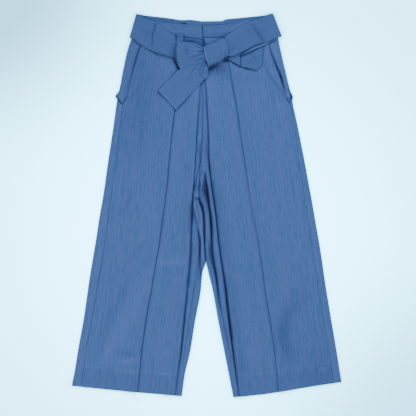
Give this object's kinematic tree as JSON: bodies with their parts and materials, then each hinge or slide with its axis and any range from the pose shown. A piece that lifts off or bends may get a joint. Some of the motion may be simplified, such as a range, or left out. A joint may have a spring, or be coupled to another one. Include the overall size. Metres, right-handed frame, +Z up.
{
  "type": "hakama trousers",
  "caption": "Wide-legged hakama trousers laid flat, front up, with pressed knife pleats, slanted pockets and a wide sash tied in a half bow.",
  "frame": {"origin": "centre of the trousers' outline on the surface they lie on", "axes": "+Z up from the surface they lie on, +Y from hem to waist, +X toward the wearer's left leg"},
  "size_m": [0.675, 0.9581, 0.0219],
  "materials": {
    "leg_cotton": "matt blue cotton with fine lengthwise stripes",
    "band_cotton": "the same cotton, doubled, stripes running across",
    "sash_cotton": "the same cotton, doubled, stripes running along the sash"
  },
  "bodies": {
    "root": {"right_back_leg": "leg_cotton", "left_back_leg": "leg_cotton", "right_front_leg": "leg_cotton", "left_front_leg": "leg_cotton", "right_pocket_facing": "leg_cotton", "left_pocket_facing": "leg_cotton", "back_waistband": "band_cotton", "right_front_waistband": "band_cotton", "left_front_waistband": "band_cotton", "sash_back": "sash_cotton", "sash_front_right": "sash_cotton", "sash_front_left": "sash_cotton", "sash_under_edge": "sash_cotton", "bow_loop": "sash_cotton", "knot_core": "sash_cotton", "sash_knot": "sash_cotton", "sash_tail_right": "sash_cotton", "sash_tail_left": "sash_cotton", "right_belt_loop": "band_cotton", "left_belt_loop": "band_cotton"}
  },
  "joints": []
}
